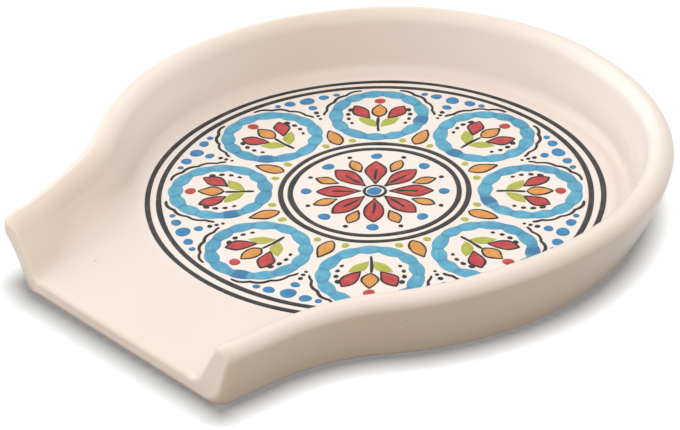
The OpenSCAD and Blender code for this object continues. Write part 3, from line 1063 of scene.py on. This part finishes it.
turquoise = (0.0791, 0.366, 0.561)
turquoise_thin = (0.163, 0.517, 0.678)
turquoise_dense = (0.0189, 0.151, 0.348)
wreaths = Film(colour_thickness)
for turn, tilt in copies(first_turn):
    wreath(wreaths, turn, tilt)
turquoise_tones = (turquoise, turquoise_thin, turquoise_dense)
turquoise_enamel = enamel("turquoise enamel", *turquoise_tones, edge_share=0.22)
wreaths.piece("turquoise_wreaths", turquoise_enamel, "turquoise_roundels", "turquoise_enamel")


# Blue spots: pressed with the tip of a round brush, in clusters between the wreaths under the
# border, round the flower in the medallion, and one for the flower's eye.
field_width = field_out - field_in
medallion_white = medallion_radius - medallion_gap - border_width / 2
spandrel_turns = (0, 5.4, 9.2)
spandrel_in_shares = (0.105, 0.085, 0.07)
spandrel_radius_shares = (0.07, 0.052, 0.032)
inner_dot_in_share, inner_dot_radius_share = 0.24, 0.046
eye_share = 0.095
star_dot_at_share = 0.845
star_dot_radius_share = 0.078
spandrel_stretch, star_dot_stretch = 0.92, 0.9
spot_stray = 0.12
spot_sizes = (0.93, 1.06)


def spot(film, turn, out, radius, stretch=1.0):
    """A dab at a place on the rosette, a little off true."""
    stray = (hand.uniform(-spot_stray, spot_stray), hand.uniform(-spot_stray, spot_stray))
    at = placed([stray], turn, out)[0]
    film.dab(at, radius * hand.uniform(*spot_sizes), stretch, math.radians(turn))


blue = (0.022, 0.20, 0.45)
blue_thin = (0.05, 0.32, 0.57)
blue_dense = (0.0112, 0.095, 0.294)
blue_film = Film(colour_thickness)
for turn, tilt in copies(gap_turn):
    for side in (-1, 1):
        for away, inward, radius in zip(spandrel_turns, spandrel_in_shares, spandrel_radius_shares):
            if away or side > 0:
                at = field_out - inward * field_width
                spot(blue_film, turn + side * away, at, radius * field_width, spandrel_stretch)
    at = field_out - inner_dot_in_share * field_width
    spot(blue_film, turn, at, inner_dot_radius_share * field_width, spandrel_stretch)
star_dot_at = star_dot_at_share * medallion_white
star_dot_radius = star_dot_radius_share * medallion_white
for turn, tilt in copies(first_turn):
    spot(blue_film, turn, star_dot_at, star_dot_radius, star_dot_stretch)
spot(blue_film, 0, 0, eye_share * medallion_white)
blue_enamel = enamel("blue enamel", blue, blue_thin, blue_dense)
blue_film.piece("blue_spots", blue_enamel, "blue_dots", "blue_enamel")


# Red petals: two on each sprig with a berry at its tip, and the eight of the medallion's flower.
# Each is one pull of a full brush, which presses wide and lifts to a point.
petal_base_shares = (-0.16, 0.25)
petal_length_share, petal_width_share = 0.76, 0.4
petal_tilt = 32
berry_at_share, berry_radius_share = 0.77, 0.15
flower_from_share, flower_length_share, flower_width_share = 0.175, 0.54, 0.25
petal_belly, petal_bow, flower_belly = 0.56, 0.35, 0.58
petal_sizes = (0.96, 1.03)
pull_points = 26
pull_fullness = 0.9
pull_waver, pull_waves = 0.05, 9
least_half = 0.05


def pull(length, width, belly=0.5, bow=0.0):
    """The left and right edges of a pull of the brush along +X, which is widest at its belly."""
    t = np.linspace(0, 1, pull_points)
    bend = t ** (math.log(0.5) / math.log(belly))
    half = np.maximum(width / 2 * np.sin(math.pi * bend) ** pull_fullness, least_half)
    half = half * (1 + pull_waver * np.sin(t * pull_waves + any_start()))
    middle = bow * np.sin(math.pi * t)
    left = np.stack([t * length, middle + half], 1)
    right = np.stack([t * length, middle - half], 1)
    return left, right


def mirrored(shape, side):
    """The shape on its own side of +X, or its mirror image with left and right kept in order."""
    left, right = (edge * np.array([1, side]) for edge in shape)
    return (left, right) if side > 0 else (right, left)


def shifted(shape, at, tilt):
    """The shape tilted by an angle in degrees and moved to its place on the motif."""
    return tuple(spun(edge, math.radians(tilt)) + np.asarray(at, float) for edge in shape)


def lay(film, shape, turn, out, tilt):
    """Lays a stroke on the rosette."""
    left, right = (placed(edge, turn, out, tilt) for edge in shape)
    film.band(left, right)


def sprig_petal(side):
    length = petal_length_share * white_radius * hand.uniform(*petal_sizes)
    shape = pull(length, petal_width_share * white_radius, petal_belly, petal_bow)
    at = np.array(petal_base_shares) * white_radius
    return mirrored(shifted(shape, at, petal_tilt), side)


red = (0.481, 0.0338, 0.038)
red_thin = (0.587, 0.09, 0.0766)
red_dense = (0.303, 0.0112, 0.0161)
red_film = Film(colour_thickness)
sprig_turns = copies(first_turn)
petals_laid = []
for turn, tilt in sprig_turns:
    for side in (-1, 1):
        petals_laid.append((sprig_petal(side), turn, roundel_at, tilt))
        lay(red_film, *petals_laid[-1])
    berry = placed([(berry_at_share * white_radius, 0)], turn, roundel_at, tilt)[0]
    red_film.dab(berry, berry_radius_share * white_radius)
flower_turns = copies(first_turn)
flower_length = flower_length_share * medallion_white
flower_width = flower_width_share * medallion_white
for turn, tilt in flower_turns:
    shape = pull(flower_length, flower_width, flower_belly)
    petals_laid.append((shape, turn, flower_from_share * medallion_white, tilt))
    lay(red_film, *petals_laid[-1])
red_enamel = enamel("red enamel", red, red_thin, red_dense, edge_share=0.3, thin_share=0.75)
red_film.piece("red_petals_brushed", red_enamel, "red_petals", "red_enamel")


# Orange buds: one at the heart of each sprig, one over the medallion between each two wreaths,
# and the pips between the flower's petals.
bud_shares = (-0.08, 0.57)
bud_width_share = 0.4
seed_in_share, seed_length_share, seed_width_share = 0.035, 0.27, 0.13
pip_from_share, pip_length_share, pip_width_share = 0.5, 0.3, 0.15
bud_belly, pip_belly = 0.42, 0.55

orange = (0.673, 0.279, 0.0496)
orange_thin = (0.755, 0.398, 0.112)
orange_dense = (0.473, 0.15, 0.0176)
orange_film = Film(colour_thickness)
bud_from, bud_to = (share * white_radius for share in bud_shares)
for turn, tilt in sprig_turns:
    shape = pull(bud_to - bud_from, bud_width_share * white_radius, bud_belly)
    petals_laid.append((shifted(shape, (bud_from, 0), 0), turn, roundel_at, tilt))
    lay(orange_film, *petals_laid[-1])
for turn, tilt in copies(gap_turn):
    shape = pull(seed_length_share * field_width, seed_width_share * field_width, bud_belly)
    petals_laid.append((shape, turn, field_in + seed_in_share * field_width, tilt))
    lay(orange_film, *petals_laid[-1])
for turn, tilt in copies(gap_turn):
    shape = pull(pip_length_share * medallion_white, pip_width_share * medallion_white, pip_belly)
    petals_laid.append((shape, turn, pip_from_share * medallion_white, tilt))
    lay(orange_film, *petals_laid[-1])
orange_tones = (orange, orange_thin, orange_dense)
orange_enamel = enamel("orange enamel", *orange_tones, edge_share=0.3, thin_share=0.8)
orange_film.piece("orange_buds_brushed", orange_enamel, "orange_buds", "orange_enamel")


# Green leaves: a pair at the foot of each sprig, and two touches beside each bud over the
# medallion.
leaf_base_shares = (-0.62, 0.06)
leaf_length_share, leaf_width_share = 0.68, 0.34
leaf_tilt = 46
leaf_bow = -0.5
seed_dot_turn = 8.2
seed_dot_at_share, seed_dot_radius_share = 0.065, 0.034
seed_dot_stretch = 1.1

green = (0.414, 0.437, 0.049)
green_thin = (0.524, 0.528, 0.103)
green_dense = (0.258, 0.291, 0.0198)
green_film = Film(colour_thickness)
leaf_length, leaf_width = leaf_length_share * white_radius, leaf_width_share * white_radius
leaf_base = np.array(leaf_base_shares) * white_radius
for turn, tilt in sprig_turns:
    for side in (-1, 1):
        shape = shifted(pull(leaf_length, leaf_width, bow=leaf_bow), leaf_base, leaf_tilt)
        lay(green_film, mirrored(shape, side), turn, roundel_at, tilt)
for turn, tilt in copies(gap_turn):
    for side in (-1, 1):
        at = field_in + seed_dot_at_share * field_width
        radius = seed_dot_radius_share * field_width
        spot(green_film, turn + side * seed_dot_turn, at, radius, seed_dot_stretch)
green_tones = (green, green_thin, green_dense)
green_enamel = enamel("green enamel", *green_tones, edge_share=0.3, thin_share=0.8)
green_film.piece("green_leaves_brushed", green_enamel, "green_leaves", "green_enamel")


# Black linework: drawn last with a fine liner brush over the colours. Stems, ribs and outlines
# swell and thin with the hand, and the rows of dots are single touches of the tip.
line_width = 0.9
outline_width = 0.55
line_clear = 0.25
stem_shares = (-0.86, -0.12)
stem_points, stem_bow, stem_waves = 16, 0.25, 3
dot_turns = (70, 87, 104, 121)
dot_radius_shares = (0.072, 0.064, 0.056, 0.048)
dot_at_share = 0.83
dot_stretch = 1.25
hug_from, hug_to = 21, 90
hug_points = 60
hug_bump, hug_bumps = 0.6, 3.5
trail_in_shares = (0.34, 0.4, 0.455)
trail_radius_shares = (0.024, 0.02, 0.016)
rib_from_share, rib_length_share = 0.27, 0.26
rib_points, rib_bow, rib_waves = 14, 0.15, 4
fine_dot_at_share, fine_dot_radius_share = 0.88, 0.032
eye_ring_share = 0.152
eye_ring_points = 48
# How a liner's line swells and thins, and the points over which it tapers at its ends
closed_swell, closed_waves = 0.25, (1, 3, 6)
open_swell, open_waves = 0.16, 7
taper_points, taper_least = 3, 0.35


def pen(points, width, closed=False):
    """The edges of a fine line along a path: it swells and thins, and its ends taper."""
    points = np.asarray(points, float)
    ahead = np.roll(points, -1, 0) - np.roll(points, 1, 0)
    if not closed:
        ahead[0], ahead[-1] = points[1] - points[0], points[-1] - points[-2]
    ahead /= np.linalg.norm(ahead, axis=1)[:, None]
    side = np.stack([-ahead[:, 1], ahead[:, 0]], 1)
    if closed:
        half = width / 2 * (1 + wander(len(points), closed_swell, closed_waves))
    else:
        t = np.linspace(0, 1, len(points))
        half = width / 2 * (1 + open_swell * np.sin(t * open_waves + any_start()))
        from_end = np.minimum(t, 1 - t) * len(points)
        half *= np.sqrt(clipped(from_end / taper_points + taper_least))
    return points + side * half[:, None], points - side * half[:, None]


def drawn_line(film, shares, radius, points, bow, waves, turn, out, tilt):
    """A fine line drawn outwards between two shares of a motif's radius, not quite straight."""
    t = np.linspace(0, 1, points)
    start, length = shares[0] * radius, (shares[1] - shares[0]) * radius
    path = np.stack([start + t * length, bow * np.sin(waves * t + tilt)], 1)
    lay(film, pen(path, line_width), turn, out, tilt)


def outline_of(shape):
    """The closed path round a brushed shape."""
    left, right = shape
    return np.concatenate([left, right[::-1]])


liner = Film(black_thickness)
for shape, turn, out, tilt in petals_laid:
    path = placed(outline_of(shape), turn, out, tilt)
    left, right = pen(path, outline_width, closed=True)
    liner.band(left, right, True)
for turn, tilt in sprig_turns:
    seat = (turn, roundel_at, tilt)
    drawn_line(liner, stem_shares, white_radius, stem_points, stem_bow, stem_waves, *seat)
    for side in (-1, 1):
        for away, radius in zip(dot_turns, dot_radius_shares):
            centre = placed([dot_at_share * white_radius * turned(side * away)], *seat)[0]
            across = math.radians(turn + side * away + 90)
            liner.dab(centre, radius * white_radius, dot_stretch, across)
        bumps = hug_bump * np.abs(np.sin(np.linspace(0, hug_bumps * math.pi, hug_points)))
        reach = roundel_radius + line_clear + line_width / 2 + bumps
        sweep = np.radians(side * np.linspace(hug_from, hug_to, hug_points))
        lay(liner, pen(round_points(sweep) * reach[:, None], line_width), *seat)
for turn, tilt in copies(gap_turn):
    for inward, radius in zip(trail_in_shares, trail_radius_shares):
        spot(liner, turn, field_out - inward * field_width, radius * field_width)
for turn, tilt in flower_turns:
    seat = (turn, rib_from_share * medallion_white, tilt)
    rib_shares = (0, rib_length_share)
    drawn_line(liner, rib_shares, medallion_white, rib_points, rib_bow, rib_waves, *seat)
for turn, tilt in copies(gap_turn):
    spot(liner, turn, fine_dot_at_share * medallion_white, fine_dot_radius_share * medallion_white)
eye_radius = eye_ring_share * medallion_white - line_width / 2
eye_path = round_points(full_turn(eye_ring_points)) * eye_radius
liner.band(*pen(eye_path, line_width, closed=True), True)
liner_black = (0.0051, 0.00516, 0.00602)
liner_thin = (0.0298, 0.0301, 0.0292)
liner_dense = (0.003, 0.003, 0.003)
liner_enamel = enamel("liner enamel", liner_black, liner_thin, liner_dense)
liner.piece("liner_work", liner_enamel, "black_linework", "black_line_enamel")


# Studio: the dish stands on a white sheet of paper between two soft boxes, one low on its left and
# one high on the camera's side. The paper shows pure white and keeps the dish's shadow.
paper_grey = (0.22, 0.225, 0.23)
paper_glow = 0.86
paper_bounce = (0.28, 0.24, 0.185)
shade_width = 8.0
shade_depth = 0.12
shade_reach, paper_reach = 120.0, 4000.0
shade_grid = np.arange(-shade_reach, shade_reach + 1)
shade_grid = np.concatenate([[-paper_reach], shade_grid, [paper_reach]])
lip_points = 60


def away_from_foot(places):
    """How far each place on the paper lies from the edge that the dish's wall stands on."""
    edge = dish_places[[row[-1 - base_steps] for row in rows], :2]
    lip = np.linspace(edge[-1], edge[0], lip_points)
    edge = np.concatenate([edge, lip])
    return np.array([np.hypot(*(edge - place).T).min() for place in places])


def white_share(tree):
    """Where the white surround shows: to the camera, in a gloss, or through something clear."""
    rays = tree.nodes.new("ShaderNodeLightPath")
    seen = reckoned(tree, "MAXIMUM", rays.outputs["Is Camera Ray"], rays.outputs["Is Glossy Ray"])
    return reckoned(tree, "MAXIMUM", seen, rays.outputs["Is Transmission Ray"])


def studio_floor():
    """A sheet of paper that the camera sees white, but for the soft shade round the dish."""
    x, y = np.meshgrid(shade_grid, shade_grid)
    places = np.column_stack([x.ravel(), y.ravel(), np.zeros(x.size)])
    across = len(shade_grid)
    faces = []
    for i in range(across - 1):
        for k in range(i * across, (i + 1) * across - 1):
            faces.append((k, k + 1, k + across + 1, k + across))
    mesh = bpy.data.meshes.new("paper")
    mesh.from_pydata([tuple(p) for p in places * mm], [], faces)
    paper = bpy.data.objects.new("paper", mesh)
    bpy.context.scene.collection.objects.link(paper)
    set_values(paper, "away", away_from_foot(places[:, :2]))
    material = bpy.data.materials.new("white paper")
    material.use_nodes = True
    tree = material.node_tree
    tree.nodes.clear()
    seen = add_node(tree, "BsdfDiffuse", Color=(*paper_grey, 1))
    glow = add_node(tree, "Emission")
    shade = ranged(tree, named_value(tree, "away"), 0.0, shade_width, shade_depth, paper_glow)
    joined(tree, shade, glow.inputs["Strength"])
    bounce = add_node(tree, "BsdfDiffuse", Color=(*paper_bounce, 1))
    both = tree.nodes.new("ShaderNodeAddShader")
    choice = tree.nodes.new("ShaderNodeMixShader")
    output = tree.nodes.new("ShaderNodeOutputMaterial")
    white = white_share(tree)
    joined(tree, seen.outputs["BSDF"], both.inputs[0])
    joined(tree, glow.outputs["Emission"], both.inputs[1])
    joined(tree, white, choice.inputs["Fac"])
    joined(tree, bounce.outputs["BSDF"], choice.inputs[1])
    joined(tree, both.outputs["Shader"], choice.inputs[2])
    joined(tree, choice.outputs["Shader"], output.inputs["Surface"])
    mesh.materials.append(material)


studio_floor()


day_white = (0.98, 0.99, 1.0)
warm_white = (1.0, 0.95, 0.885)
lamp_distance, lamp_size = 1.0, 1.0
air_strength = 0.86


def soft_lamp(name, turn, rise, watts):
    """A square soft box that faces the middle of the dish."""
    light = bpy.data.lights.new(name, "AREA")
    light.shape = "SQUARE"
    light.size = lamp_size
    light.energy = watts
    light.color = day_white
    lamp = bpy.data.objects.new(name, light)
    out = Vector(
        (
            math.sin(math.radians(turn)) * math.cos(math.radians(rise)),
            -math.cos(math.radians(turn)) * math.cos(math.radians(rise)),
            math.sin(math.radians(rise)),
        )
    )
    lamp.location = out * lamp_distance
    lamp.rotation_euler = out.to_track_quat("Z", "Y").to_euler()
    bpy.context.scene.collection.objects.link(lamp)


soft_lamp("left", turn=281, rise=35, watts=3.5)
soft_lamp("overhead", turn=38, rise=60, watts=1.9)

world = bpy.data.worlds.new("studio air")
world.use_nodes = True
sky = world.node_tree
sky.nodes.clear()
seen = add_node(sky, "Background", Color=(1, 1, 1, 1), Strength=1.0)
air = add_node(sky, "Background", Color=(*warm_white, 1), Strength=air_strength)
choice = sky.nodes.new("ShaderNodeMixShader")
sky_out = sky.nodes.new("ShaderNodeOutputWorld")
joined(sky, white_share(sky), choice.inputs["Fac"])
joined(sky, air.outputs["Background"], choice.inputs[1])
joined(sky, seen.outputs["Background"], choice.inputs[2])
joined(sky, choice.outputs["Shader"], sky_out.inputs["Surface"])
bpy.context.scene.world = world

bpy.context.scene.view_settings.view_transform = "Standard"
